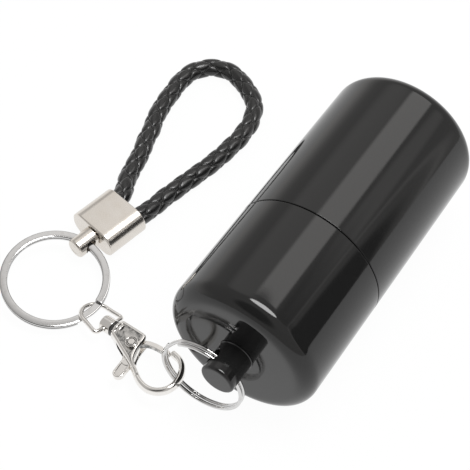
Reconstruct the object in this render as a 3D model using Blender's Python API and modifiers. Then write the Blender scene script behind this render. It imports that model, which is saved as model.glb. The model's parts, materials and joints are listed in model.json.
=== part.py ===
"""Storage tube keychain: a screw-cap aluminium tube, a small split ring through the eyelet on its cap,
a swivel lobster clasp, a flat key ring, and a braided leather loop in a metal ferrule.
Metres, +Z up. The tube lies on its side along +Y, and the chain lies beside its cap."""

import math

import bmesh
import bpy
import numpy as np
from mathutils import Matrix, Vector

# Shared clearances and finishes
gap = 0.0003
running_gap = 0.00035
merge_distance = 0.00001
cutter_overrun = 0.001
edge_break = 0.0002
sharp_angle = math.radians(35)

# The tube, its cap and its seal
tube_radius = 0.024
tube_length = 0.0986
cap_length = 0.038
near_fillet = 0.005
far_fillet = 0.0046
cap_wall = 0.0015
cap_end_wall = 0.003
tube_wall = 0.0033
tube_end_wall = 0.003
neck_length = 0.010
groove_width = 0.002
groove_depth = 0.001
seal_thickness = 0.0011
seal_pocket_depth = 0.0024
turn_steps = 96
fillet_steps = 6

# The place of the tube: the middle of its near face, over the part's own origin
near_face_x = 0.0305
near_face_y = -0.0410

# The eyelet on the cap
eyelet_radius = 0.0053
eyelet_length = 0.010
eyelet_edge = 0.0004
eyelet_hole_radius = 0.0023
eyelet_hole_height = 0.0051
eyelet_turn = math.radians(36.7)
spigot_radius = 0.0027
spigot_head_radius = 0.0045
spigot_head_height = 0.0012
eyelet_steps = 64

# The small split ring
small_wire = 0.0011
small_gap = 0.00045
small_radius = 0.01298
small_drop = 0.01275
small_lean = math.radians(3.0)
small_step_angle = math.radians(273.0)
small_step_half = math.radians(15.0)
small_steps = 48

# The swivel clasp
clasp_length = 0.041
clasp_azimuth = math.radians(-6.5)
clasp_tilt = math.radians(8.5)
clasp_angle = math.radians(201.0)
clasp_body_thickness = 0.005
hook_thickness = 0.0029
hook_width = 0.002
hook_corner_share = 0.6
hook_seat_share = 0.872
hook_side_share = -0.045
lever_slot = 0.0031
lever_thickness = 0.0017
lever_rise = 0.0004
lever_hub_radius = 0.0023
thumb_width = 0.0035
rivet_radius = 0.001
rivet_head_radius = 0.00175
rivet_head_height = 0.0005
spring_wire = 0.00045
spring_coil_radius = 0.00165
spring_hole_radius = 0.0005
barrel_radius = 0.0026
barrel_length = 0.0043
barrel_edge = 0.0004
collar_radius = 0.0031
swivel_neck_radius = 0.0013
swivel_head_radius = 0.0018
swivel_head_length = 0.001
collar_gap = 0.0013
collar_wall = 0.002

# The bail on the swivel barrel
bail_wire = 0.0013
bail_half_width = 0.00575
bail_roll = math.radians(-22.5)
bail_pitch = math.radians(9.3)
bail_reach = 0.0110
bow_square_share = 3.2
bow_depth_share = 0.5
bail_bend = 0.001
bail_end_depth = 0.0013

# The flat key ring
key_radius = 0.01577
key_band = 0.0024
key_layer = 0.00093
key_gap = 0.00042
key_tilt_x_share = 0.136
key_tilt_y_share = -0.040
key_reach = 0.0078
key_bail_angle = math.radians(-8.0)
key_step_angle = math.radians(-12.2)
key_step_half = math.radians(17.0)
key_steps = 60

# The ferrule of the loop, and its eye
ferrule_angle = math.radians(92.9)
ferrule_azimuth = math.radians(12.0)
ferrule_width = 0.0184
ferrule_height = 0.0096
ferrule_length = 0.0147
ferrule_wall = 0.0007
ferrule_plate = 0.0015
ferrule_square_share = 2.8
ferrule_edge = 0.0005
ferrule_drop = 0.00055
ferrule_side = 0.0007
ferrule_steps = 72
eye_radius = 0.0033
eye_drop = 0.0002
eye_reach = 0.0041
eye_nose = 0.0038
eye_nose_edge = 0.0007
eye_hole_radius = 0.0024
eye_head_radius = 0.0026
eye_head_height = 0.0009
eye_spigot_radius = 0.0016

# The braided loop
loop_diameter = 0.0064
loop_spacing = 0.0064

# Names of the two groups
part_group = "storage tube keychain"
cutter_group = "cutters"


# Scene and objects
def clear_scene():
    """Remove every object, so that the file can be run again."""
    for obj in list(bpy.data.objects):
        bpy.data.objects.remove(obj)


def group(name):
    """A collection linked to the scene."""
    made = bpy.data.collections.new(name)
    bpy.context.scene.collection.children.link(made)
    return made


def finish(name, colour, roughness, metallic):
    """A Principled material of one colour."""
    material = bpy.data.materials.new(name)
    material.use_nodes = True
    shader = material.node_tree.nodes["Principled BSDF"]
    shader.inputs["Base Color"].default_value = (*colour, 1)
    shader.inputs["Roughness"].default_value = roughness
    shader.inputs["Metallic"].default_value = metallic
    return material


def place(name, data, frame, cutter=False):
    """A new object with its mesh or curve in the frame given."""
    obj = bpy.data.objects.new(name, data)
    (cutters if cutter else parts).objects.link(obj)
    obj.matrix_world = frame
    if cutter:
        obj.hide_render = True
        obj.display_type = "WIRE"
    return obj


def axis_frame(origin, z_axis, x_hint):
    """A frame at origin whose z lies along z_axis and whose x is as near x_hint as it can be."""
    z_axis = Vector(z_axis).normalized()
    y_axis = z_axis.cross(Vector(x_hint)).normalized()
    x_axis = y_axis.cross(z_axis)
    frame = Matrix((x_axis, y_axis, z_axis)).transposed().to_4x4()
    frame.translation = Vector(origin)
    return frame


def pivot(name, frame, parent=None):
    """An empty that stands on a joint's axis and carries the pieces that move with it."""
    empty = place(name, None, frame)
    frames[name] = frame
    if parent:
        carry(empty, parent)
    return empty


def carry(obj, parent):
    """Parent obj to parent without moving it."""
    frame = obj.matrix_basis.copy()
    obj.parent = parent
    obj.matrix_parent_inverse = frames[parent.name].inverted()
    obj.matrix_basis = frame


# Shapes
def arc(centre, radius, start, end, steps):
    """Points of an arc in degrees, as pairs."""
    turns = np.radians(np.linspace(start, end, steps + 1))
    return [(centre[0] + radius * math.cos(t), centre[1] + radius * math.sin(t)) for t in turns]


def smooth(points, per_span):
    """Points along a Catmull-Rom curve through the points given."""
    points = [Vector(p) for p in points]
    padded = [2 * points[0] - points[1], *points, 2 * points[-1] - points[-2]]
    found = []
    for a, b, c, d in zip(padded, padded[1:], padded[2:], padded[3:]):
        for t in np.arange(per_span) / per_span:
            found.append(0.5 * (2 * b + (c - a) * t + (2 * a - 5 * b + 4 * c - d) * t**2
                                + (3 * b - a - 3 * c + d) * t**3))
    return [*found, points[-1]]


def turned(name, section, frame, steps, closed=False, cutter=False):
    """A section of (radius, height) pairs, outer side from top to bottom, turned about the frame's z."""
    mesh = bpy.data.meshes.new(name)
    edges = [(i, i + 1) for i in range(len(section) - 1)]
    if closed:
        edges.append((len(section) - 1, 0))
    mesh.from_pydata([(r, 0, h) for r, h in section], edges, [])
    obj = place(name, mesh, frame, cutter)
    screw = obj.modifiers.new("turn", "SCREW")
    screw.steps = steps
    screw.render_steps = steps
    screw.use_merge_vertices = True
    screw.merge_threshold = merge_distance
    return obj


def rod(name, radius, low, high, frame, steps, cutter=False):
    """A plain round rod along the frame's z, from low to high."""
    return turned(name, [(0, high), (radius, high), (radius, low), (0, low)], frame, steps, cutter=cutter)


def box(name, low, high, frame, cutter=False):
    """A plain box between two corners of the frame."""
    shape = bmesh.new()
    bmesh.ops.create_cube(shape, size=1)
    low = Vector(low)
    size = Vector(high) - low
    for vertex in shape.verts:
        vertex.co = Vector(low[i] + size[i] * (vertex.co[i] + 0.5) for i in range(3))
    mesh = bpy.data.meshes.new(name)
    shape.to_mesh(mesh)
    shape.free()
    return place(name, mesh, frame, cutter)


def poly_curve(name, points, closed=False, dimensions="3D"):
    """A curve of one straight-sided spline."""
    curve = bpy.data.curves.new(name, "CURVE")
    curve.dimensions = dimensions
    spline = curve.splines.new("POLY")
    spline.points.add(len(points) - 1)
    for point, place_at in zip(spline.points, points):
        point.co = (*Vector(place_at).to_3d(), 1)
    spline.use_cyclic_u = closed
    return curve


def wire(name, points, radius, frame, sides=2, closed=False, cutter=False):
    """A round wire along the points."""
    curve = poly_curve(name, points, closed)
    curve.bevel_depth = radius
    curve.bevel_resolution = sides
    curve.use_fill_caps = True
    return place(name, curve, frame, cutter)


def plate(name, outline, half_thickness, frame, rounding=0.0, cutter=False):
    """A flat outline with its edges rounded, centred on the frame's plane, as a mesh."""
    curve = poly_curve(name, outline, closed=True, dimensions="2D")
    curve.fill_mode = "BOTH"
    curve.extrude = half_thickness - rounding
    curve.bevel_depth = rounding
    curve.bevel_resolution = 0
    curve.offset = -rounding
    return as_mesh(place(name, curve, frame, cutter))


def as_mesh(obj):
    """The same shape as a welded mesh object, because a curve can't be cut or joined."""
    bpy.context.view_layer.update()
    graph = bpy.context.evaluated_depsgraph_get()
    mesh = bpy.data.meshes.new_from_object(obj.evaluated_get(graph))
    welded = bmesh.new()
    welded.from_mesh(mesh)
    bmesh.ops.remove_doubles(welded, verts=welded.verts, dist=merge_distance)
    bmesh.ops.recalc_face_normals(welded, faces=welded.faces)
    welded.to_mesh(mesh)
    welded.free()
    name = obj.name
    frame = obj.matrix_world.copy()
    cutter = obj.hide_render
    bpy.data.objects.remove(obj)
    mesh.name = name
    return place(name, mesh, frame, cutter)


def combine(target, other, operation):
    """Cut other from target, or join it to target."""
    boolean = target.modifiers.new(other.name, "BOOLEAN")
    boolean.operation = operation
    boolean.object = other
    boolean.solver = "EXACT"


def done(obj, material, parent):
    """Give a finished piece its material, its smooth shading and its carrier."""
    obj.data.materials.clear()
    obj.data.materials.append(material)
    if obj.type == "MESH":
        obj.data.shade_smooth()
        obj.data.set_sharp_from_angle(angle=sharp_angle)
    carry(obj, parent)
    return obj


def least_self_gap(points, thickness, skip):
    """The least clear distance between stretches of one wire that lie over skip points apart."""
    places = np.array([tuple(p) for p in points])
    apart = np.linalg.norm(places[:, None] - places[None], axis=2)
    index = np.arange(len(places))
    apart[abs(index[:, None] - index[None]) <= skip] = np.inf
    return apart.min() - thickness


def wound_ring(radius, rise, step_at, step_half, steps, direction):
    """Two turns about z with one step of the whole rise between them, whose loose ends meet the step."""
    whole = 4 * math.pi - 2 * step_half
    count = round(whole / (2 * math.pi) * steps)
    points = []
    for along in np.linspace(0, whole, count + 1):
        share = (along - 2 * math.pi + 2 * step_half) / (2 * step_half)
        share = min(max(share, 0), 1)
        height = rise * (share * share * (3 - 2 * share) - 0.5)
        angle = step_at + direction * (along + step_half)
        points.append((radius * math.cos(angle), radius * math.sin(angle), height))
    return points


clear_scene()
parts = group(part_group)
cutters = group(cutter_group)
frames = {}

black = finish("black anodised aluminium", (0.04, 0.04, 0.042), 0.32, 0.6)
black_rubber = finish("black rubber", (0.02, 0.02, 0.02), 0.7, 0)
nickel = finish("polished nickel", (0.62, 0.61, 0.59), 0.18, 1)
steel = finish("polished steel", (0.6, 0.6, 0.6), 0.2, 1)
satin = finish("satin nickel", (0.68, 0.65, 0.61), 0.3, 1)
leather = finish("black braided leather", (0.02, 0.02, 0.022), 0.4, 0)

# Frame of the tube: z runs along the tube from the middle of the near face
tube_frame = axis_frame((near_face_x, near_face_y, tube_radius), (0, 1, 0), (1, 0, 0))
shoulder = cap_length + gap


def cap_section():
    """The cap's wall, its rounded near edge, the eyelet's hole and the pocket of the seal."""
    bore = tube_radius - cap_wall
    pocket = bore + running_gap
    return [
        (tube_radius - edge_break, cap_length),
        (tube_radius, cap_length - edge_break),
        *arc((tube_radius - near_fillet, near_fillet), near_fillet, 0, -90, fillet_steps),
        (spigot_radius + gap, 0),
        (spigot_radius + gap, cap_end_wall),
        (bore, cap_end_wall),
        (bore, cap_length - seal_pocket_depth),
        (pocket, cap_length - seal_pocket_depth),
        (pocket, cap_length),
    ]


def tube_section():
    """The closed far end, the wall, the shoulder, the seal's groove and the neck inside the cap."""
    neck = tube_radius - cap_wall - gap
    bore = tube_radius - tube_wall
    return [
        (0, tube_length),
        *arc((tube_radius - far_fillet, tube_length - far_fillet), far_fillet, 90, 0, fillet_steps),
        (tube_radius, shoulder + edge_break),
        (tube_radius - edge_break, shoulder),
        (neck - groove_depth, shoulder),
        (neck - groove_depth, shoulder - groove_width),
        (neck, shoulder - groove_width),
        (neck, shoulder - neck_length + edge_break),
        (neck - edge_break, shoulder - neck_length),
        (bore, shoulder - neck_length),
        (bore, tube_length - tube_end_wall),
        (0, tube_length - tube_end_wall),
    ]


cap_pivot = pivot("cap_root", tube_frame)
cap_shell = turned("cap_shell", cap_section(), tube_frame, turn_steps, closed=True)
done(cap_shell, black, cap_pivot)

tube_pivot = pivot("tube_unscrew_axis", tube_frame, cap_pivot)
tube_body = turned("tube_body", tube_section(), tube_frame, turn_steps)
done(tube_body, black, tube_pivot)

# The seal lies in the groove beside the shoulder
groove_floor = tube_radius - cap_wall - gap - groove_depth
seal_middle = (groove_floor + gap + seal_thickness / 2, shoulder - groove_width / 2)
seal_section = arc(seal_middle, seal_thickness / 2, 90, -270, 10)[:-1]
seal_ring = turned("seal_ring", seal_section, tube_frame, turn_steps, closed=True)
done(seal_ring, black_rubber, tube_pivot)

# The eyelet stands on the near face, and its head holds it inside the cap
head_low = cap_end_wall + gap
eyelet_section = [
    (0, head_low + spigot_head_height),
    (spigot_head_radius, head_low + spigot_head_height),
    (spigot_head_radius, head_low),
    (spigot_radius, head_low),
    (spigot_radius, -gap),
    (eyelet_radius, -gap),
    (eyelet_radius, eyelet_edge - eyelet_length),
    (eyelet_radius - eyelet_edge, -eyelet_length),
    (0, -eyelet_length),
]
cap_eyelet = turned("cap_eyelet", eyelet_section, tube_frame, eyelet_steps)

# The ring hangs from the middle of the eyelet's hole, along hang, in a plane that leans out a little
hole_middle = tube_frame @ Vector((0, 0, -eyelet_hole_height))
level = Vector((-math.sin(eyelet_turn), 0, -math.cos(eyelet_turn)))
hang = level * math.cos(small_lean) - Vector((0, math.sin(small_lean), 0))
hole_axis = Vector((math.cos(eyelet_turn), 0, -math.sin(eyelet_turn)))
hole_frame = axis_frame(hole_middle, hole_axis, (0, 1, 0))
eyelet_hole = rod("cutter_eyelet_hole", eyelet_hole_radius, -eyelet_radius - cutter_overrun,
                  eyelet_radius + cutter_overrun, hole_frame, 32, cutter=True)
combine(cap_eyelet, eyelet_hole, "DIFFERENCE")
done(cap_eyelet, black, cap_pivot)

# The small split ring
ring_pivot = pivot("small_ring_axis", hole_frame, cap_pivot)
small_normal = hole_axis.cross(hang)
small_frame = axis_frame(hole_middle + hang * small_drop, small_normal, -hang)
small_rise = small_wire + small_gap
small_points = wound_ring(small_radius, small_rise, small_step_angle, small_step_half, small_steps, 1)
small_split_ring = wire("small_split_ring", small_points, small_wire / 2, small_frame)
done(small_split_ring, steel, ring_pivot)
print("small ring, least gap to itself:", least_self_gap(small_points, small_wire, small_steps // 2))

# Frame of the clasp: x from the bail to the hook, y towards the gate's side, z up
along_clasp = Vector((math.cos(clasp_tilt) * math.cos(clasp_azimuth),
                      math.cos(clasp_tilt) * math.sin(clasp_azimuth), math.sin(clasp_tilt)))
across_clasp = Vector((0, 0, 1)).cross(along_clasp).normalized()
seat_on_ring = small_frame @ Vector((small_radius * math.cos(clasp_angle),
                                     small_radius * math.sin(clasp_angle), 0))
clasp_origin = (seat_on_ring - along_clasp * (hook_seat_share * clasp_length)
                - across_clasp * (hook_side_share * clasp_length))
clasp_frame = axis_frame(clasp_origin, along_clasp.cross(across_clasp), along_clasp)
clasp_pivot_frame = axis_frame(seat_on_ring, across_clasp, along_clasp)
clasp_pivot = pivot("clasp_axis", clasp_pivot_frame, ring_pivot)

# Outline of the clasp's thick body, as shares of its length, from the collar round to the collar
body_left_shares = [(0.300, -0.068), (0.380, -0.099), (0.456, -0.131), (0.551, -0.168), (0.639, -0.206),
                    (0.715, -0.248)]
body_inner_shares = [(0.740, -0.224), (0.672, -0.190), (0.610, -0.144), (0.580, -0.093), (0.563, -0.026),
                     (0.560, 0.024)]
body_right_shares = [(0.541, 0.071), (0.440, 0.073), (0.300, 0.073)]
# Middle line of the hook's wire, from inside the body to the tip, as shares of the clasp's length
hook_route_shares = [(0.640, -0.187), (0.700, -0.222), (0.760, -0.249), (0.835, -0.259), (0.905, -0.238),
                     (0.958, -0.185), (0.975, -0.113), (0.958, -0.037), (0.915, 0.027), (0.860, 0.064),
                     (0.790, 0.077)]
# Middle line of the thumb lever's two arms, from the gate's tip through the hub to the thumb
gate_shares = [(0.7585, 0.052), (0.640, 0.046), (0.560, 0.020)]
pivot_share = (0.505, -0.049)
elbow_share = (0.566, -0.171)
thumb_share = (0.583, -0.285)
gate_half_share = 0.0195
arm_step_share = 0.01
spring_hole_share = (0.556, -0.146)
spring_end_share = -0.074
collar_share = 0.298
collar_end_share = 0.400
slot_start_share = 0.385
slot_end_share = 0.625


def on_clasp(share, height=0.0):
    """A point of the clasp's frame from shares of its length."""
    return Vector((share[0] * clasp_length, share[1] * clasp_length, height))


def clasp_outline(shares, per_span):
    """A smooth run of outline points on the clasp."""
    return [tuple(p)[:2] for p in smooth([on_clasp(s) for s in shares], per_span)]


body_outline = (clasp_outline(body_left_shares, 3) + clasp_outline(body_inner_shares, 5)
                + clasp_outline(body_right_shares, 3))
clasp_body = plate("clasp_body", body_outline, clasp_body_thickness / 2, clasp_frame, edge_break * 2)

hook_points = [tuple(p) for p in smooth([on_clasp(s) for s in hook_route_shares], 5)]
hook_section = bpy.data.curves.new("cutter_hook_section", "CURVE")
hook_section.dimensions = "2D"
outline = hook_section.splines.new("POLY")
half_w = hook_width / 2
half_t = hook_thickness / 2
corner = min(half_w, half_t) * hook_corner_share
hook_outline = (arc((half_w - corner, half_t - corner), corner, 0, 90, 3)
                + arc((corner - half_w, half_t - corner), corner, 90, 180, 3)
                + arc((corner - half_w, corner - half_t), corner, 180, 270, 3)
                + arc((half_w - corner, corner - half_t), corner, 270, 360, 3))
outline.points.add(len(hook_outline) - 1)
for point, (x, y) in zip(outline.points, hook_outline):
    point.co = (x, y, 0, 1)
outline.use_cyclic_u = True
hook_profile = place("cutter_hook_section", hook_section, Matrix(), cutter=True)
hook_curve = poly_curve("cutter_hook", hook_points)
hook_curve.bevel_mode = "OBJECT"
hook_curve.bevel_object = hook_profile
hook_curve.twist_mode = "Z_UP"
hook_curve.use_fill_caps = True
hook = as_mesh(place("cutter_hook", hook_curve, clasp_frame, cutter=True))
combine(clasp_body, hook, "UNION")

# The collar is a short tube round the swivel's neck, in one piece with the body
swivel_frame = axis_frame(clasp_origin, along_clasp, across_clasp)
collar_low = collar_share * clasp_length
collar_high = collar_end_share * clasp_length
collar = turned("cutter_collar", [
    (0, collar_high),
    (collar_radius, collar_high),
    (collar_radius, collar_low + edge_break),
    (collar_radius - edge_break, collar_low),
    (0, collar_low),
], swivel_frame, 32, cutter=True)
combine(clasp_body, collar, "UNION")

head_low = collar_low + collar_wall + gap
head_high = head_low + swivel_head_length
chamber = turned("cutter_chamber", [
    (0, head_high + cutter_overrun),
    (swivel_head_radius + gap, head_high + cutter_overrun),
    (swivel_head_radius + gap, collar_low + collar_wall),
    (swivel_neck_radius + gap, collar_low + collar_wall),
    (swivel_neck_radius + gap, collar_low - cutter_overrun),
    (0, collar_low - cutter_overrun),
], swivel_frame, 24, cutter=True)
combine(clasp_body, chamber, "DIFFERENCE")

slot = box("cutter_slot", on_clasp((slot_start_share, -0.5), -lever_slot / 2),
           on_clasp((slot_end_share, 0.5), lever_slot / 2), clasp_frame, cutter=True)
combine(clasp_body, slot, "DIFFERENCE")

rivet_frame = axis_frame(clasp_frame @ on_clasp(pivot_share), along_clasp.cross(across_clasp), along_clasp)
rivet_hole = rod("cutter_rivet_hole", rivet_radius + gap, -clasp_body_thickness, clasp_body_thickness,
                 rivet_frame, 20, cutter=True)
combine(clasp_body, rivet_hole, "DIFFERENCE")
done(clasp_body, nickel, clasp_pivot)

# The rivet, with a flat round head on each side
head_base = clasp_body_thickness / 2 + gap
head_top = head_base + rivet_head_height
lever_rivet = turned("lever_rivet", [
    (0, head_top),
    (rivet_head_radius - edge_break, head_top),
    (rivet_head_radius, head_top - edge_break),
    (rivet_head_radius, head_base),
    (rivet_radius, head_base),
    (rivet_radius, -head_base),
    (rivet_head_radius, -head_base),
    (rivet_head_radius, edge_break - head_top),
    (rivet_head_radius - edge_break, -head_top),
    (0, -head_top),
], rivet_frame, 24)
done(lever_rivet, nickel, clasp_pivot)


def bar(start, end, half_start, half_end, steps=6):
    """Outline of a tapered bar with round ends."""
    way = math.atan2(end[1] - start[1], end[0] - start[0])
    turn = math.degrees(way)
    return (arc(start, half_start, turn + 90, turn + 270, steps)
            + arc(end, half_end, turn - 90, turn + 90, steps))


# The lever: a hub on the rivet, the gate arm to one side and the thumb arm to the other
lever_pivot = pivot("lever_axis", rivet_frame, clasp_pivot)
lever_half = lever_thickness / 2
lever_frame = clasp_frame @ Matrix.Translation((0, 0, lever_rise))
hub_at = tuple(on_clasp(pivot_share))[:2]
elbow_at = tuple(on_clasp(elbow_share))[:2]
thumb_at = tuple(on_clasp(thumb_share))[:2]
thumb_half = thumb_width / 2
gate_half = gate_half_share * clasp_length
clasp_lever = plate("clasp_lever", bar(hub_at, elbow_at, lever_hub_radius, thumb_half),
                    lever_half, lever_frame, edge_break)
gate_route = [tuple(on_clasp(s))[:2] for s in gate_shares]
arms = [(elbow_at, thumb_at, thumb_half)]
arms += [(start, end, gate_half) for start, end in zip(gate_route, [*gate_route[1:], hub_at])]
for index, (start, end, half) in enumerate(arms):
    arm = plate(f"cutter_arm_{index}", bar(start, end, half, half), lever_half * (1 - index * arm_step_share),
                lever_frame, edge_break, cutter=True)
    combine(clasp_lever, arm, "UNION")
lever_bore = rod("cutter_lever_bore", rivet_radius + gap, -clasp_body_thickness, clasp_body_thickness,
                 rivet_frame, 20, cutter=True)
combine(clasp_lever, lever_bore, "DIFFERENCE")
spring_hole_at = tuple(on_clasp(spring_hole_share))[:2]
spring_hole_frame = clasp_frame @ Matrix.Translation((*spring_hole_at, 0))
spring_hole = rod("cutter_spring_hole", spring_hole_radius, -clasp_body_thickness, clasp_body_thickness,
                  spring_hole_frame, 12, cutter=True)
combine(clasp_lever, spring_hole, "DIFFERENCE")
done(clasp_lever, nickel, lever_pivot)

# The spring: a hairpin under the lever, from the slot's end round the rivet and up into the lever's small hole
spring_level = lever_rise - lever_half - gap - spring_wire / 2
spring_start = (slot_start_share * clasp_length + gap + spring_wire / 2, spring_end_share * clasp_length)
spring_round = arc(hub_at, spring_coil_radius, 150, -30, 10)
spring_route = [(x, y, spring_level) for x, y in [spring_start, *spring_round, spring_hole_at]]
spring_route.append((*spring_hole_at, lever_rise + lever_half - gap))
lever_spring = wire("lever_spring", spring_route, spring_wire / 2, clasp_frame, sides=1)
done(lever_spring, steel, clasp_pivot)

# The swivel barrel: its neck passes the collar, and its head turns in the clasp's chamber
barrel_high = collar_low - collar_gap
barrel_low = barrel_high - barrel_length
swivel_pivot = pivot("swivel_axis", swivel_frame, clasp_pivot)
swivel_barrel = turned("swivel_barrel", [
    (0, head_high),
    (swivel_head_radius, head_high),
    (swivel_head_radius, head_low),
    (swivel_neck_radius, head_low),
    (swivel_neck_radius, barrel_high),
    (barrel_radius - barrel_edge, barrel_high),
    (barrel_radius, barrel_high - barrel_edge),
    (barrel_radius, barrel_low + barrel_edge),
    (barrel_radius - barrel_edge, barrel_low),
    (0, barrel_low),
], swivel_frame, 32)

# The bail is pinned across the barrel, rolled so that the key ring runs over one leg and under the other
bail_x = barrel_low + barrel_length / 2
rolled_across = Matrix.Rotation(bail_roll, 3, along_clasp) @ across_clasp
bail_line = Matrix.Rotation(bail_pitch, 3, rolled_across) @ along_clasp
bail_pin_at = clasp_origin + along_clasp * bail_x
bail_frame = axis_frame(bail_pin_at, bail_line.cross(rolled_across), bail_line)
bail_pin_frame = axis_frame(bail_pin_at, rolled_across, along_clasp)
for side in (-1, 1):
    pin_hole = rod(f"cutter_bail_hole_{side}", bail_wire / 2 + gap, barrel_radius - bail_end_depth - gap,
                   barrel_radius + cutter_overrun,
                   axis_frame(bail_pin_at, rolled_across * side, along_clasp),
                   16, cutter=True)
    combine(swivel_barrel, pin_hole, "DIFFERENCE")
done(swivel_barrel, nickel, swivel_pivot)


def bail_route():
    """One leg from its turned-in end to the middle of the bow, then the other leg mirrored."""
    bow_depth = bail_half_width * bow_depth_share
    bow_start = bow_depth - bail_reach
    leg = [(0, barrel_radius - bail_end_depth), (0, bail_half_width - bail_bend)]
    leg += arc((-bail_bend, bail_half_width - bail_bend), bail_bend, 0, 90, 4)[1:]
    for turn in np.linspace(90, 0, 9)[:-1]:
        around = math.radians(turn)
        out = math.cos(around) ** (2 / bow_square_share)
        leg.append((bow_start - bow_depth * out, bail_half_width * math.sin(around) ** (2 / bow_square_share)))
    middle = (-bail_reach, 0)
    return [(x, y, 0) for x, y in leg + [middle] + [(x, -y) for x, y in reversed(leg)]]


bail_pivot = pivot("bail_axis", bail_pin_frame, swivel_pivot)
swivel_bail = wire("swivel_bail", bail_route(), bail_wire / 2, bail_frame)
done(swivel_bail, nickel, bail_pivot)

# The key ring: a flat band wound twice, whose loose end lies just inside the bail
key_normal = Vector((key_tilt_x_share, key_tilt_y_share, 1)).normalized()
key_seat_at = bail_frame @ Vector((-key_reach, 0, 0))
key_level = axis_frame((0, 0, 0), key_normal, (1, 0, 0))
to_bail = key_level @ Vector((math.cos(key_bail_angle), math.sin(key_bail_angle), 0))
key_frame = axis_frame(key_seat_at - to_bail * key_radius, key_normal, (1, 0, 0))
key_pivot_frame = axis_frame(key_seat_at, key_normal.cross(to_bail), to_bail)
key_pivot = pivot("key_ring_axis", key_pivot_frame, bail_pivot)
key_rise = key_layer + key_gap
key_points = wound_ring(key_radius, key_rise, key_step_angle, key_step_half, key_steps, -1)
key_section = poly_curve("cutter_key_section", [
    (-key_band / 2, -key_layer / 2),
    (key_band / 2, -key_layer / 2),
    (key_band / 2, key_layer / 2),
    (-key_band / 2, key_layer / 2),
], closed=True, dimensions="2D")
key_profile = place("cutter_key_section", key_section, Matrix(), cutter=True)
key_curve = poly_curve("key_ring", key_points)
key_curve.bevel_mode = "OBJECT"
key_curve.bevel_object = key_profile
key_curve.twist_mode = "Z_UP"
key_curve.use_fill_caps = True
key_ring = as_mesh(place("key_ring", key_curve, key_frame))
done(key_ring, steel, key_pivot)
print("key ring, least gap to itself:", least_self_gap(key_points, key_layer, key_steps // 2))

# Frame of the ferrule: z runs from the eye to the mouth, x across it, y down through it
eye_middle = key_frame @ Vector((key_radius * math.cos(ferrule_angle), key_radius * math.sin(ferrule_angle), 0))
along_ferrule = Vector((math.sin(ferrule_azimuth), math.cos(ferrule_azimuth), 0))
across_ferrule = Vector((math.cos(ferrule_azimuth), -math.sin(ferrule_azimuth), 0))
eye_at = eye_middle - Vector((0, 0, eye_drop))
eye_frame = axis_frame(eye_at, along_ferrule, across_ferrule)
cup_frame = axis_frame(eye_at + along_ferrule * eye_reach - across_ferrule * ferrule_side
                       - Vector((0, 0, ferrule_drop)), along_ferrule, across_ferrule)
ring_way = key_frame.to_3x3() @ Vector((-math.sin(ferrule_angle), math.cos(ferrule_angle), 0))
ferrule_pivot_frame = axis_frame(eye_middle, ring_way, along_ferrule)
ferrule_pivot = pivot("ferrule_axis", ferrule_pivot_frame, key_pivot)


def rounded_oval(width, height, steps):
    """Points of an oval with squared shoulders."""
    power = 2 / ferrule_square_share
    found = []
    for turn in np.arange(steps) * 2 * math.pi / steps:
        c = math.cos(turn)
        s = math.sin(turn)
        found.append((math.copysign(abs(c) ** power, c) * width / 2,
                      math.copysign(abs(s) ** power, s) * height / 2))
    return found


middle_frame = cup_frame @ Matrix.Translation((0, 0, ferrule_length / 2))
ferrule_shell = plate("ferrule_shell", rounded_oval(ferrule_width, ferrule_height, ferrule_steps),
                      ferrule_length / 2, middle_frame, ferrule_edge)
pocket_depth = ferrule_length - ferrule_plate
pocket_frame = cup_frame @ Matrix.Translation((0, 0, ferrule_plate + (pocket_depth + cutter_overrun) / 2))
pocket = plate("cutter_ferrule_pocket",
               rounded_oval(ferrule_width - 2 * ferrule_wall, ferrule_height - 2 * ferrule_wall, ferrule_steps),
               (pocket_depth + cutter_overrun) / 2, pocket_frame, cutter=True)
combine(ferrule_shell, pocket, "DIFFERENCE")
plate_hole = rod("cutter_plate_hole", eye_spigot_radius + gap, eye_reach - cutter_overrun,
                 eye_reach + ferrule_plate + cutter_overrun, eye_frame, 20, cutter=True)
combine(ferrule_shell, plate_hole, "DIFFERENCE")
done(ferrule_shell, satin, ferrule_pivot)

# The eye: a stud with a cross hole for the ring, riveted through the ferrule's plate
eye_head_low = eye_reach + ferrule_plate + gap
ferrule_eye = turned("ferrule_eye", [
    (0, eye_head_low + eye_head_height),
    (eye_head_radius, eye_head_low + eye_head_height),
    (eye_head_radius, eye_head_low),
    (eye_spigot_radius, eye_head_low),
    (eye_spigot_radius, eye_reach - gap),
    (eye_radius, eye_reach - gap),
    *arc((eye_radius - eye_nose_edge, eye_nose_edge - eye_nose), eye_nose_edge, 0, -90, 3),
    (0, -eye_nose),
], eye_frame, 32)
eye_hole = rod("cutter_eye_hole", eye_hole_radius, -eye_radius - cutter_overrun, eye_radius + cutter_overrun,
               axis_frame(eye_at, ring_way, along_ferrule), 28, cutter=True)
combine(ferrule_eye, eye_hole, "DIFFERENCE")
done(ferrule_eye, satin, ferrule_pivot)

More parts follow.
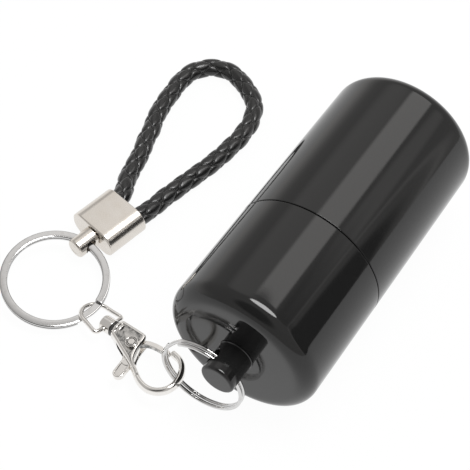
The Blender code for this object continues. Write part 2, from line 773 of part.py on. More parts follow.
# Route of the braided loop, chosen by hand, from one end in the ferrule round to the other
loop_route = [
    (-0.0417, -0.0150, 0.0049), (-0.0410, -0.0116, 0.0049), (-0.0403, -0.0077, 0.0049),
    (-0.0398, -0.0040, 0.0048), (-0.0400, -0.0009, 0.0046), (-0.0412, 0.0024, 0.0041), (-0.0431, 0.0062, 0.0034),
    (-0.0443, 0.0105, 0.0032), (-0.0453, 0.0151, 0.0032), (-0.0465, 0.0196, 0.0032),
    (-0.0481, 0.0239, 0.0032), (-0.0491, 0.0285, 0.0032), (-0.0508, 0.0329, 0.0032),
    (-0.0520, 0.0376, 0.0032), (-0.0528, 0.0426, 0.0032), (-0.0533, 0.0479, 0.0032),
    (-0.0537, 0.0534, 0.0032), (-0.0523, 0.0595, 0.0032), (-0.0487, 0.0636, 0.0032),
    (-0.0437, 0.0657, 0.0032), (-0.0378, 0.0649, 0.0032), (-0.0319, 0.0619, 0.0032),
    (-0.0277, 0.0590, 0.0032), (-0.0249, 0.0553, 0.0032), (-0.0231, 0.0509, 0.0032),
    (-0.0223, 0.0461, 0.0032), (-0.0221, 0.0408, 0.0032), (-0.0226, 0.0352, 0.0032),
    (-0.0233, 0.0295, 0.0032), (-0.0245, 0.0236, 0.0032), (-0.0260, 0.0175, 0.0032),
    (-0.0274, 0.0115, 0.0032), (-0.0287, 0.0055, 0.0033), (-0.0290, 0.0017, 0.0037),
    (-0.0296, -0.0023, 0.0043), (-0.0307, -0.0062, 0.0048), (-0.0319, -0.0100, 0.0049),
    (-0.0328, -0.0138, 0.0049), (-0.0336, -0.0167, 0.0049),
]


def even_points(points, spacing):
    """Points an even distance apart along a close chain of points."""
    places = np.array([tuple(p) for p in points])
    along = np.concatenate([[0], np.cumsum(np.linalg.norm(np.diff(places, axis=0), axis=1))])
    count = max(round(along[-1] / spacing), 2)
    stations = np.linspace(0, along[-1], count + 1)
    return np.stack([np.interp(stations, along, places[:, k]) for k in range(3)], axis=1)


loop_points = even_points(smooth(loop_route, 8), loop_spacing)
braided_loop = wire("braided_loop", loop_points.tolist(), loop_diameter / 2, Matrix(), sides=4)
done(braided_loop, leather, ferrule_pivot)
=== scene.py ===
"""Looks of the storage tube keychain: each piece as a surface worked out with numpy, with its finish,
and a pale studio with a camera. Metres, +Z up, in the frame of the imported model."""

import json
import math

import bmesh
import bpy
import numpy as np
from mathutils import Matrix, Vector


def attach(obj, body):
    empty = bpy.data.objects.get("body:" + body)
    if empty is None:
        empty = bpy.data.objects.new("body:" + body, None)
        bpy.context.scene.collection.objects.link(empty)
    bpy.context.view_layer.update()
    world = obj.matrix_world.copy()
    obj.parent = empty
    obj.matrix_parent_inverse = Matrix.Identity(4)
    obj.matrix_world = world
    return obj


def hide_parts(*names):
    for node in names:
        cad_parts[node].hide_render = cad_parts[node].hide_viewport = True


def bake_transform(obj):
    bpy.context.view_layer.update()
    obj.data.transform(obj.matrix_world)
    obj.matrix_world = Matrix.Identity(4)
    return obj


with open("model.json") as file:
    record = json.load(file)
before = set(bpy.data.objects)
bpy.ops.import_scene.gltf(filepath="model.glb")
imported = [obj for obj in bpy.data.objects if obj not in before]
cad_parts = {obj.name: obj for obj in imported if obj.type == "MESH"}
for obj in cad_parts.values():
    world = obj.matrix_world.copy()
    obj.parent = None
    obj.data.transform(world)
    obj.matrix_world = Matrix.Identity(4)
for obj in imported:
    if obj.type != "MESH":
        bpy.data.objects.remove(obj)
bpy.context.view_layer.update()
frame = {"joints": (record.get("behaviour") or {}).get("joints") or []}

joint_places = {joint["name"]: np.array(joint.get("pos_m", (0, 0, 0))) for joint in frame["joints"]}
joint_axes = {joint["name"]: np.array(joint["axis"]) for joint in frame["joints"]}

# The camera
# It stands above the near end of the tube, a little to its right, and looks down at the middle
# of the whole keychain with a long lens.
camera_place = Vector((0.13300, -0.19862, 0.33087))
camera_aim = Vector((-0.00235, 0.00874, 0.0))
camera_data = bpy.data.cameras.new("camera")
camera_data.sensor_fit = "HORIZONTAL"
camera_data.sensor_width = 36.0
camera_data.lens = 98.36
camera_data.clip_start = 0.01
camera_data.clip_end = 20.0
camera = bpy.data.objects.new("camera", camera_data)
bpy.context.scene.collection.objects.link(camera)
camera_turn = (camera_aim - camera_place).to_track_quat("-Z", "Y").to_matrix().to_4x4()
camera.matrix_world = Matrix.Translation(camera_place) @ camera_turn
bpy.context.scene.camera = camera
bpy.context.scene.view_settings.view_transform = "Standard"


# The braided loop
# A round braid of six flat strips of black leather, folded into a loop whose two ends are
# glued into the ferrule. Each strip goes over one strip and under the next.
class Value:
    """A socket of a finish. Sums and products of it add Math nodes."""

    def __init__(self, finish, socket):
        self.finish = finish
        self.socket = socket

    def maths(self, operation, *operands):
        sockets = dict(enumerate(operands))
        return self.finish.node("ShaderNodeMath", {"operation": operation}, sockets)

    def __add__(self, other):
        return self.maths("ADD", self, other)

    def __sub__(self, other):
        return self.maths("SUBTRACT", self, other)

    def __rsub__(self, other):
        return self.maths("SUBTRACT", other, self)

    def __mul__(self, other):
        return self.maths("MULTIPLY", self, other)

    __radd__ = __add__
    __rmul__ = __mul__

    def __abs__(self):
        return self.maths("ABSOLUTE", self)

    def at_least(self, other):
        return self.maths("MAXIMUM", self, other)


class Finish:
    """The nodes of one material. Arithmetic is written with Value, and any other node with node()."""

    def __init__(self, name, block=None):
        self.block = block or bpy.data.materials.new(name)
        self.block.use_nodes = True
        self.tree = self.block.node_tree
        self.tree.nodes.clear()

    def node(self, kind, settings=None, sockets=None, output=0):
        """A node of a kind, its settings first, then its sockets' numbers or links. Gives one output."""
        made = self.tree.nodes.new(kind)
        for name, setting in (settings or {}).items():
            setattr(made, name, setting)
        for name, given in (sockets or {}).items():
            if isinstance(given, Value):
                self.tree.links.new(given.socket, made.inputs[name])
            else:
                made.inputs[name].default_value = given
        return Value(self, made.outputs[output]) if made.outputs else None

    def step(self, value, low, high):
        """0 below low, 1 above high, and a smooth rise between."""
        return self.node("ShaderNodeMapRange", {"interpolation_type": "SMOOTHSTEP"},
                         {0: value, 1: low, 2: high})

    def mix(self, factor, first, second):
        """A colour between two others."""
        return self.node("ShaderNodeMix", {"data_type": "RGBA"}, {0: factor, 6: first, 7: second}, 2)

    def places(self):
        """The piece's own coordinates."""
        return self.node("ShaderNodeTexCoord", output="Object")

    def noise(self, scale, detail, roughness=0.5, places=None):
        """Cloudy noise from 0 to 1, over the piece's own coordinates or over other places."""
        return self.node("ShaderNodeTexNoise", sockets={
            "Vector": places or self.places(), "Scale": scale, "Detail": detail, "Roughness": roughness})

    def streaks(self, along, around, detail):
        """Noise with its own scale along and round a wire, a turned piece or a strip."""
        lay = self.node("ShaderNodeUVMap", {"uv_map": "lay"})
        stretched = self.node("ShaderNodeVectorMath", {"operation": "MULTIPLY"},
                              {0: lay, 1: (along, around, 1)})
        return self.noise(1.0, detail, places=stretched)

    def mark(self, name):
        """A number kept with each vertex."""
        return self.node("ShaderNodeAttribute", {"attribute_name": name}, output="Fac")

    def bump(self, height, strength, distance):
        """A normal tipped by the slope of a height."""
        return self.node("ShaderNodeBump", sockets={
            "Height": height, "Strength": strength, "Distance": distance})

    def glow(self, colour, strength, kind="ShaderNodeEmission"):
        """Light of its own."""
        return self.node(kind, sockets={"Color": colour, "Strength": strength})

    def either(self, factor, first, second):
        """A shader between two others."""
        return self.node("ShaderNodeMixShader", sockets={0: factor, 1: first, 2: second})

    def shown(self, shader, output="ShaderNodeOutputMaterial"):
        """The material with the shader on its output."""
        self.node(output, sockets={"Surface": shader})
        return self.block

    def surface(self, **sockets):
        """The material of a Principled shader. Underlines in the names stand for spaces."""
        named = {name.replace("_", " "): given for name, given in sockets.items()}
        return self.shown(self.node("ShaderNodeBsdfPrincipled", sockets=named))


def grey(level, warm=0.0):
    """A grey with a little more red and less blue where it is warm."""
    return (level * (1 + warm), level, level * (1 - warm), 1.0)


def unit(vectors):
    """Vectors divided by their own length."""
    return vectors / np.linalg.norm(vectors, axis=-1, keepdims=True)


def smooth(points, per_span):
    """A curve through points. Each span is a cubic, and its slope at each end is half the step
    between that end's two neighbours."""
    points = np.array(points, float)
    padded = np.concatenate([[2 * points[0] - points[1]], points, [2 * points[-1] - points[-2]]])
    a, b, c, d = (padded[k:len(padded) - 3 + k, None] for k in range(4))
    t = (np.arange(per_span) / per_span)[None, :, None]
    spans = 0.5 * (2 * b + (c - a) * t + (2 * a - 5 * b + 4 * c - d) * t**2
                   + (3 * b - a - 3 * c + d) * t**3)
    return np.concatenate([spans.reshape(-1, points.shape[1]), points[-1:]])


def sums(steps):
    """0, and then the sum of the steps so far."""
    return np.concatenate([[0], np.cumsum(steps)])


def lengths(points):
    """The distance along a chain of points, from 0 at its start."""
    return sums(np.linalg.norm(np.diff(points, axis=0), axis=1))


def even(points, spacing):
    """Points an even distance apart along a chain of points."""
    along = lengths(points)
    stations = np.linspace(0, along[-1], max(round(along[-1] / spacing), 1) + 1)
    return np.stack([np.interp(stations, along, column) for column in points.T], axis=1)


def carried(path, section, up, thickness=1.0):
    """Each (across, up) pair of a section, square to each point of a path, the second of them times
    the thickness there. The section's own up is as near to up as can be."""
    across = unit(np.cross(np.gradient(path, axis=0), up))
    lift = unit(np.cross(across, np.gradient(path, axis=0)))
    lift = lift * np.broadcast_to(thickness, len(path))[:, None]
    return path[:, None] + section[..., :1] * across[:, None] + section[..., 1:] * lift[:, None]


def polar(radius, turn, *height):
    """Points at a radius and a turn, and at a height where one is given."""
    return np.stack(np.broadcast_arrays(radius * np.cos(turn), radius * np.sin(turn), *height), axis=-1)


def whole_turn(steps):
    """The turn at each of some equal steps round a circle."""
    return np.arange(steps) / steps * 2 * math.pi


def grid(points, capped=False, **marks):
    """A grid of points whose rows close on themselves, as vertices, faces, lay, end faces and marks.
    Lay is the mean distance along the columns and along the rows to each corner of each face."""
    rows, columns = points.shape[:2]
    row = np.arange(rows - 1)[:, None] + np.zeros(columns, int)
    column = np.zeros(row.shape, int) + np.arange(columns)
    corner_rows = np.stack([row, row + 1, row + 1, row], axis=-1)
    corner_columns = np.stack([column, column, column + 1, column + 1], axis=-1)
    along = sums(np.linalg.norm(np.diff(points, axis=0), axis=2).mean(axis=1))
    around = sums(np.linalg.norm(np.roll(points, -1, axis=1) - points, axis=2).mean(axis=0))
    lay = np.stack([along[corner_rows], around[corner_columns]], axis=-1)
    faces = corner_rows * columns + corner_columns % columns
    ends = [list(range(columns)), list(range(rows * columns - columns, rows * columns))] if capped else []
    marks = {name: np.broadcast_to(mark, (rows, columns)).reshape(-1) for name, mark in marks.items()}
    return points.reshape(-1, 3), faces.reshape(-1, 4), lay.reshape(-1, 2), ends, marks


merge_distance = 0.0000005


def tidy_mesh(mesh, sharp_degrees):
    """Merge doubled points, turn all faces outwards, and shade smooth apart from sharp edges."""
    shape = bmesh.new()
    shape.from_mesh(mesh)
    bmesh.ops.remove_doubles(shape, verts=shape.verts, dist=merge_distance)
    bmesh.ops.recalc_face_normals(shape, faces=shape.faces)
    shape.to_mesh(mesh)
    shape.free()
    mesh.shade_smooth()
    mesh.set_sharp_from_angle(angle=math.radians(sharp_degrees))


def piece(name, shells, material, sharp_degrees=38):
    """One object from several closed shells made with grid()."""
    starts = np.cumsum([0] + [len(shell[0]) for shell in shells])
    vertices = np.concatenate([shell[0] for shell in shells])
    faces = []
    lay = []
    for start, shell in zip(starts, shells):
        faces += (shell[1] + start).tolist()
        faces += [[index + int(start) for index in end] for end in shell[3]]
        lay.append(shell[2])
        lay += [shell[0][end, :2] for end in shell[3]]
    mesh = bpy.data.meshes.new(name)
    mesh.from_pydata(vertices.tolist(), [], faces)
    mesh.uv_layers.new(name="lay").data.foreach_set("uv", np.concatenate(lay).astype(np.float32).ravel())
    for mark in sorted({mark for shell in shells for mark in shell[4]}):
        kept = [shell[4].get(mark, np.zeros(len(shell[0]))) for shell in shells]
        attribute = mesh.attributes.new(mark, "FLOAT", "POINT")
        attribute.data.foreach_set("value", np.concatenate(kept).astype(np.float32))
    tidy_mesh(mesh, sharp_degrees)
    mesh.materials.append(material)
    made = bpy.data.objects.new(name, mesh)
    bpy.context.scene.collection.objects.link(made)
    return made


def fit(made, body, node):
    """The piece moves with its body and stands for its solid, which is hidden."""
    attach(made, body)
    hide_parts(node)


# The loop's middle line as the solid has it: out of the ferrule and down, round on the table, and
# up into the ferrule again
loop_radius = 0.0032
loop_down = [
    (-0.0417, -0.0150, 0.0049), (-0.0410, -0.0116, 0.0049), (-0.0403, -0.0077, 0.0049),
    (-0.0398, -0.0040, 0.0048), (-0.0400, -0.0009, 0.0046), (-0.0412, 0.0024, 0.0041),
    (-0.0431, 0.0062, 0.0034),
]
loop_on_table = [
    (-0.0443, 0.0105), (-0.0453, 0.0151), (-0.0465, 0.0196), (-0.0481, 0.0239), (-0.0491, 0.0285),
    (-0.0508, 0.0329), (-0.0520, 0.0376), (-0.0528, 0.0426), (-0.0533, 0.0479), (-0.0537, 0.0534),
    (-0.0523, 0.0595), (-0.0487, 0.0636), (-0.0437, 0.0657), (-0.0378, 0.0649), (-0.0319, 0.0619),
    (-0.0277, 0.0590), (-0.0249, 0.0553), (-0.0231, 0.0509), (-0.0223, 0.0461), (-0.0221, 0.0408),
    (-0.0226, 0.0352), (-0.0233, 0.0295), (-0.0245, 0.0236), (-0.0260, 0.0175), (-0.0274, 0.0115),
]
loop_up = [
    (-0.0287, 0.0055, 0.0033), (-0.0290, 0.0017, 0.0037), (-0.0296, -0.0023, 0.0043),
    (-0.0307, -0.0062, 0.0048), (-0.0319, -0.0100, 0.0049), (-0.0328, -0.0138, 0.0049),
    (-0.0336, -0.0167, 0.0049),
]
loop_route = [*loop_down, *((x, y, loop_radius) for x, y in loop_on_table), *loop_up]
strips_each_way = 3
crossing_spacing = 0.00766
first_crossing = 0.00642
column_turn = math.radians(72.0)
strip_end_dip = 0.00042
strip_edge_dip = 0.00042
strip_crown = 0.00022
braid_sides = 96
braid_spacing = 0.00022


def braid(path):
    """A round braid along a path. Two families of strips wind opposite ways, and each crossing is a
    diamond whose upper strip dips towards its ends as a power of the distance along it, and drops
    steeply at its two edges as a high power of the distance across it."""
    distance = (lengths(path)[:, None] - first_crossing) / crossing_spacing
    turn = whole_turn(braid_sides)
    share = (turn - column_turn) * strips_each_way / (2 * math.pi)
    first = share - distance
    second = share + distance
    upper = (np.floor(first) + np.floor(second)) % 2
    first = first - np.floor(first) - 0.5
    second = second - np.floor(second) - 0.5
    along = np.where(upper > 0.5, first, second)
    across = np.where(upper > 0.5, second, first)
    dip = (strip_end_dip * abs(2 * along)**3 + strip_edge_dip * abs(2 * across)**8
           + strip_crown * (2 * across)**2)
    points = carried(path, polar(loop_radius - dip, turn), (0, 0, 1))
    ends = [np.broadcast_to(path[k], points[:1].shape) for k in (0, -1)]
    marks = {"strip_along": along, "strip_across": across}
    marks = {name: np.concatenate([mark[:1], mark, mark[-1:]]) for name, mark in marks.items()}
    return grid(np.concatenate([ends[0], points, ends[1]]), **marks)


def leather_finish():
    """Black leather strips: a glossy coat over fine pores, paler bands near their edges, and dull grooves
    with painted shade.
    """
    leather = Finish("black braided leather")
    across = abs(leather.mark("strip_across")) * 2
    along = abs(leather.mark("strip_along")) * 2
    edge = leather.step(across, 0.74, 0.86) * (1 - leather.step(across, 0.88, 0.94))
    groove = leather.step(across, 0.91, 0.97).at_least(leather.step(along, 0.92, 1.0))
    pores = leather.noise(5200.0, 4.0, 0.6)
    patches = leather.noise(260.0, 2.0)
    colour = leather.mix(patches, grey(0.004), grey(0.011))
    colour = leather.mix(edge * 0.4, colour, grey(0.035))
    # Painted shade in the grooves between the strips, which are also duller
    colour = leather.mix(groove * 0.95, colour, grey(0.001))
    height = pores * 0.5 + patches * 0.5 - groove
    return leather.surface(
        Base_Color=colour,
        Roughness=0.26 + pores * 0.12 + groove * 0.4,
        Specular_IOR_Level=0.35,
        Coat_Weight=0.45 * (1 - groove),
        Coat_Roughness=0.12,
        Normal=leather.bump(height, strength=0.30, distance=0.00012),
    )


loop_path = even(smooth(loop_route, 8), braid_spacing)
braided_loop = piece("braided_loop_strips", [braid(loop_path)], leather_finish(), sharp_degrees=60)
fit(braided_loop, "ferrule", "braided_loop")


# The table and the studio
# A plain white table under soft light. The lamps light all pieces evenly. Only mirrors show the
# tent, with the pale walls and the dark doorway of such a studio, and the soft box.
def direction(azimuth, elevation):
    """The unit vector towards an azimuth and an elevation in degrees."""
    azimuth = math.radians(azimuth)
    elevation = math.radians(elevation)
    return Vector((math.cos(elevation) * math.cos(azimuth), math.cos(elevation) * math.sin(azimuth),
                   math.sin(elevation)))


def staged(name, shape, material, only_mirrored=True):
    """A stage object from a bmesh. One that is only mirrored casts no shade and hides nothing."""
    mesh = bpy.data.meshes.new(name)
    shape.to_mesh(mesh)
    shape.free()
    mesh.materials.append(material)
    made = bpy.data.objects.new(name, mesh)
    bpy.context.scene.collection.objects.link(made)
    for ray in ("camera", "diffuse", "shadow", "transmission") if only_mirrored else ():
        setattr(made, "visible_" + ray, False)


def shown_rays(finish):
    """1 for the rays of the camera and of mirrors and glass."""
    rays = [finish.node("ShaderNodeLightPath", output=name)
            for name in ("Is Camera Ray", "Is Glossy Ray", "Is Transmission Ray")]
    return rays[0].at_least(rays[1]).at_least(rays[2])


table_shape = bmesh.new()
bmesh.ops.create_grid(table_shape, x_segments=1, y_segments=1, size=4.0)
table_finish = Finish("white table")
table_white = table_finish.node("ShaderNodeBsdfDiffuse", sockets={"Color": grey(0.86)})
table_glow = table_finish.glow(grey(1.0), 1.0)
table_mix = table_finish.either(shown_rays(table_finish) * 0.965, table_white, table_glow)
staged("table", table_shape, table_finish.shown(table_mix), only_mirrored=False)

bpy.context.scene.world = bpy.data.worlds.new("studio")
air = Finish("studio", bpy.context.scene.world)
air_soft, air_white = (air.glow(grey(1.0), strength, "ShaderNodeBackground") for strength in (0.62, 1.0))
air.shown(air.either(shown_rays(air), air_soft, air_white), "ShaderNodeOutputWorld")

tent_shape = bmesh.new()
bmesh.ops.create_icosphere(tent_shape, subdivisions=4, radius=0.75)
tent_finish = Finish("tent")
tent_way = tent_finish.node("ShaderNodeVectorMath", {"operation": "NORMALIZE"}, {0: tent_finish.places()})


def towards(azimuth, elevation):
    """The cosine of the angle between a place on the tent and a direction."""
    return tent_finish.node("ShaderNodeVectorMath", {"operation": "DOT_PRODUCT"},
                            {0: tent_way, 1: direction(azimuth, elevation)}, "Value")


def patch(azimuth, elevation, inner, outer):
    """1 within inner degrees of a direction, 0 beyond outer degrees."""
    return tent_finish.step(towards(azimuth, elevation), math.cos(math.radians(outer)),
                            math.cos(math.radians(inner)))


side_box = patch(45, 38, 5, 11)
back_wall = patch(125, 53, 10, 24)
pale_wall = (1 - tent_finish.step(towards(0, 90), 0.05, 0.40)) * tent_finish.step(towards(150, 0), 0.1, 0.7)
doorway = patch(12, 13, 20, 24)
chink = patch(13, 14, 26, 27.5) * (1 - patch(13, 14, 24.5, 26))
grey_wall = patch(26, 46, 8, 16)
dark_stand = patch(-85, 46, 16, 30)
tent_level = 0.50 + back_wall * 0.40 + pale_wall * 0.5 + side_box * 0.4
tent_level = tent_level * (1 - grey_wall * 0.5) * (1 - dark_stand * 0.88)
tent_level = tent_level * (1 - doorway * 0.93) + chink * 0.4
tent_colour = tent_finish.node("ShaderNodeVectorMath", {"operation": "SCALE"},
                               {0: grey(1.0, 0.02)[:3], "Scale": tent_level})
staged("tent", tent_shape, tent_finish.shown(tent_finish.glow(tent_colour, 1.0)))

# The soft box hangs low over the far side, so that the tube mirrors it as one long pale band
soft_shape = bmesh.new()
soft_place = Matrix.Translation((0.025, 0.135, 0.198)) @ Matrix.Diagonal((0.095, 0.085, 1.0, 1.0))
bmesh.ops.create_grid(soft_shape, x_segments=1, y_segments=1, size=1.0, matrix=soft_place)
soft = Finish("soft box")
soft_across = soft.node("ShaderNodeSeparateXYZ", sockets={0: soft.places()}, output="X")
soft_level = soft.step(soft_across, -0.004, 0.014) * (1 - soft.step(soft_across, 0.100, 0.112))
soft_mix = soft.either(soft_level, soft.node("ShaderNodeBsdfTransparent"), soft.glow(grey(1.0, 0.02), 2.3))
staged("soft box", soft_shape, soft.shown(soft_mix))


def lamp(name, shape, width, height, watts, place, turn):
    """A soft lamp at a place, which shines against the z axis of its turn."""
    data = bpy.data.lights.new(name, "AREA")
    data.shape = shape
    data.size = width
    data.size_y = height
    data.energy = watts
    made = bpy.data.objects.new(name, data)
    bpy.context.scene.collection.objects.link(made)
    made.matrix_world = Matrix.Translation(place) @ turn.to_4x4()
    return made


# The key lamp hangs over the cap, and the cap's rounded edge mirrors it as one bright oval
key_way = Vector((0.175, 0.187, 0.966)).normalized()
key_side = (Vector((1, 0, 0)) - key_way * key_way.x).normalized()
key_turn = Matrix((key_side.cross(key_way), key_side, key_way)).transposed()
key_place = Vector((0.034, -0.034, 0.04)) + key_way * 0.58
lamp("key lamp", "ELLIPSE", width=0.20, height=0.42, watts=2.4, place=key_place, turn=key_turn)
for name, azimuth, elevation, distance, size in (("fill lamp", -35, 48, 1.3, 0.6),
                                                 ("side lamp", 150, 40, 1.2, 0.5)):
    way = direction(azimuth, elevation)
    turn = way.to_track_quat("Z", "Y").to_matrix()
    made = lamp(name, "RECTANGLE", size, size, watts=1.6, place=way * distance, turn=turn)
    made.visible_glossy = False


# The ferrule
# A deep-drawn cup of satin nickel with a flat end and rounded sides. Its lip is turned smooth,
# and the two ends of the braid are pressed and glued inside it.
def frame_at(origin, z_axis, x_hint):
    """Rows x, y and z of a frame, z along z_axis and x as near x_hint as it can be, then its origin."""
    z_axis = unit(np.array(z_axis, float))
    y_axis = unit(np.cross(z_axis, x_hint))
    return np.array([np.cross(y_axis, z_axis), y_axis, z_axis, origin])


def in_frame(at, points):
    """Each point is the frame's origin plus its three numbers times the frame's axes."""
    return np.asarray(points) @ at[:3] + at[3]


def lifted(points, height=0.0):
    """Flat points with a height as their third number."""
    return np.column_stack([points, np.full(len(points), height)])


beyond_arc = 0.3


def rounded(corners, steps=6, closed=False):
    """A profile of (across, along, rounding) corners. Each corner is the arc that touches both its
    sides, with one more point on each side so that the flat parts stay flat."""
    corners = np.array(corners, float)
    if closed:
        corners = np.concatenate([corners[-1:], corners, corners[:1]])
    found = [] if closed else [corners[:1, :2]]
    for before, here, after in zip(corners[:-2], corners[1:-1], corners[2:]):
        back = unit(before[:2] - here[:2])
        on = unit(after[:2] - here[:2])
        half_angle = math.acos(max(-1, min(1, float(back @ on)))) / 2
        reach = here[2] / math.tan(half_angle)
        centre = here[:2] + unit(back + on) * here[2] / math.sin(half_angle)
        start = here[:2] + back * reach - centre
        end = here[:2] + on * reach - centre
        swing = math.pi - 2 * half_angle
        share = np.linspace(0, 1, steps + 1)[:, None]
        arc = (np.sin((1 - share) * swing) * start + np.sin(share * swing) * end) / math.sin(swing)
        beside = reach + here[2] * beyond_arc
        found += [[here[:2] + back * beside], centre + arc, [here[:2] + on * beside]]
    return np.concatenate(found if closed else [*found, corners[-1:, :2]])


ferrule_width = 0.0184
ferrule_height = 0.0096
ferrule_length = 0.0147
ferrule_wall = 0.0007
ferrule_plate = 0.0015
ferrule_rounding = 0.92
ferrule_sides = 160
cup_ahead = 0.0041
cup_aside = 0.0007
cup_below = 0.00055
ferrule_azimuth = math.radians(12.0)
along_ferrule = np.array([math.sin(ferrule_azimuth), math.cos(ferrule_azimuth), 0])
across_ferrule = np.array([math.cos(ferrule_azimuth), -math.sin(ferrule_azimuth), 0])
eye_place = joint_places["ferrule_swing"] - (0, 0, 0.0002)
cup_place = eye_place + along_ferrule * cup_ahead - across_ferrule * cup_aside - (0, 0, cup_below)
cup_frame = frame_at(cup_place, along_ferrule, across_ferrule)


def rounded_oval(width, height, share, steps):
    """A rectangle whose corners are quarter circles with a share of half its height as radius."""
    turn = (np.arange(steps) + 0.5) / steps * 2 * math.pi
    radius = height / 2 * share
    way = polar(1, turn)
    return np.sign(way) * (width / 2 - radius, height / 2 - radius) + radius * way


def cup():
    """Ovals carried along the cup. Each point of the wall's profile sets one oval: its inset from the
    outer oval on all sides, and its place along the cup."""
    near_middle = ferrule_height / 2 * 0.96
    profile = rounded([
        (near_middle, 0.0, 0.0), (0.0, 0.0, 0.0005), (0.0, ferrule_length, 0.0003),
        (ferrule_wall, ferrule_length, 0.00025), (ferrule_wall, ferrule_plate, 0.0004),
        (near_middle, ferrule_plate, 0.0),
    ])
    ovals = []
    for inset, along in profile:
        width = ferrule_width - 2 * inset
        height = ferrule_height - 2 * inset
        ovals.append(lifted(rounded_oval(width, height, ferrule_rounding, ferrule_sides), along))
    middles = [ovals[end] * (0, 0, 1) for end in (0, -1)]
    return grid(in_frame(cup_frame, np.array([middles[0], *ovals, middles[1]])))


def satin_finish():
    """Satin nickel plate: fine lengthwise polishing lines, a warm tone and faint cloudy wear."""
    satin = Finish("satin nickel")
    lines = satin.streaks(60.0, 9000.0, 2.0)
    clouds = satin.noise(230.0, 3.0)
    grain = satin.noise(7000.0, 2.0)
    return satin.surface(
        Base_Color=satin.mix(clouds, (0.67, 0.62, 0.56, 1), (0.76, 0.73, 0.69, 1)),
        Metallic=1.0,
        Roughness=0.18 + lines * 0.07 + clouds * 0.06,
        Normal=satin.bump(lines * 0.7 + grain * 0.3, strength=0.04, distance=0.00004),
    )


satin_nickel = satin_finish()
fit(piece("ferrule_cup", [cup()], satin_nickel), "ferrule", "ferrule_shell")


# The ferrule's eye
# A turned stud riveted through the flat end of the ferrule, with a cross hole in which the key
# ring runs. Its nose has a rounded edge and a shallow turned circle.
def revolved(profile, at, steps, **marks):
    """Each (radius, height) of a profile is carried round the frame's z axis in equal steps."""
    return grid(in_frame(at, polar(profile[:, :1], whole_turn(steps), profile[:, 1:])), **marks)


def cutter(shell):
    """A closed shell as the tool of one cut."""
    return piece("cutter", [shell], None)


def hole_cutter(at, radius, flare_from, reach, steps=48):
    """A rod with flared ends: its radius grows by the distance past the place where a flare starts."""
    flare = reach - flare_from
    profile = np.array([(0, reach), (radius + flare, reach), (radius, flare_from),
                        (radius, -flare_from), (radius + flare, -reach), (0, -reach)])
    return cutter(revolved(profile, at, steps))


def cut(made, *cutters, sharp_degrees=38):
    """Take the cutters out of a piece, and keep only the piece."""
    for tool in cutters:
        boolean = made.modifiers.new("cut", "BOOLEAN")
        boolean.operation = "DIFFERENCE"
        boolean.solver = "EXACT"
        boolean.object = tool
    bpy.context.view_layer.update()
    graph = bpy.context.evaluated_depsgraph_get()
    mesh = bpy.data.meshes.new_from_object(made.evaluated_get(graph))
    made.modifiers.clear()
    old = made.data
    made.data = mesh
    bpy.data.meshes.remove(old)
    tidy_mesh(mesh, sharp_degrees)
    for tool in cutters:
        bpy.data.objects.remove(tool)


eye_radius = 0.0033
eye_nose = 0.0038
eye_shoulder = 0.0038
eye_neck = 0.0016
eye_head = 0.0026
eye_head_low = 0.0059
eye_head_high = 0.0068
eye_circle_inner = 0.0016
eye_circle = 0.0018
eye_circle_outer = 0.0019
eye_circle_depth = 0.00012
eye_frame = frame_at(eye_place, along_ferrule, across_ferrule)
ring_way = joint_axes["ferrule_swing"]
eye_profile = rounded([
    (0, eye_head_high, 0), (eye_head, eye_head_high, 0.0003), (eye_head, eye_head_low, 0.0001),
    (eye_neck, eye_head_low, 0.0001), (eye_neck, eye_shoulder, 0.00005),
    (eye_radius, eye_shoulder, 0.00015), (eye_radius, -eye_nose, 0.0008),
    (eye_circle_outer, -eye_nose, 0.00008), (eye_circle, eye_circle_depth - eye_nose, 0.00008),
    (eye_circle_inner, -eye_nose, 0.00008), (0, -eye_nose, 0),
])
ferrule_eye = piece("ferrule_eye_stud", [revolved(eye_profile, eye_frame, steps=96)], satin_nickel)
eye_hole_frame = frame_at(eye_place, ring_way, along_ferrule)
cut(ferrule_eye, hole_cutter(eye_hole_frame, radius=0.0024, flare_from=0.0030, reach=0.0042))
fit(ferrule_eye, "ferrule", "ferrule_eye")


# The key ring
# A flat strip of steel wound twice round and polished, so that keys slide between its turns.
# Both its ends are cut square and step over each other beside the bail.
def superoval(width, height, steps, power=2):
    """A closed oval whose corners grow squarer with its power: |x/a|^power + |y/b|^power = 1."""
    way = polar(1, whole_turn(steps))
    return np.sign(way) * abs(way)**(2 / power) * (width, height) / 2


ring_points = 801
rounded_end_steps = 4


def wound(radius, rise, step_at, step_half, way_round):
    """Nearly two turns round z. The middle steps up smoothly by the rise in the arc between the two
    ends, and all the rest is level."""
    whole = 4 * math.pi - 2 * step_half
    along = np.linspace(0, whole, ring_points)
    share = np.clip((along - 2 * math.pi + 2 * step_half) / (2 * step_half), 0, 1)
    height = rise * (share * share * (3 - 2 * share) - 0.5)
    return polar(radius, step_at + way_round * (along + step_half), height)


def swept(path, section, up, end_rounding, film=0.0, thickness=1.0):
    """A section of (across, up) pairs carried along a path, square to it, its height times the
    thickness. At both ends it shrinks along a quarter circle and closes on the path. The painted
    shade mark picks the section's points that the finish darkens with painted shade."""
    middle = carried(path, section, up, thickness)
    along = unit(np.gradient(path, axis=0))
    half = np.abs(section).max()
    turns = np.linspace(0, math.pi / 2, rounded_end_steps + 1)[1:]
    inset = end_rounding * (1 - np.cos(turns))
    out = end_rounding * np.sin(turns)
    scale = (1 - inset / half)[:, None, None]
    ends = []
    for end, sign in ((0, -1), (-1, 1)):
        shrunk = path[end] + (middle[end] - path[end]) * scale + sign * along[end] * out[:, None, None]
        tip = np.broadcast_to(path[end] + sign * along[end] * out[-1], shrunk[:1].shape)
        ends.append(np.concatenate([shrunk, tip]))
    return grid(np.concatenate([ends[0][::-1], middle, ends[1]]), film=film)


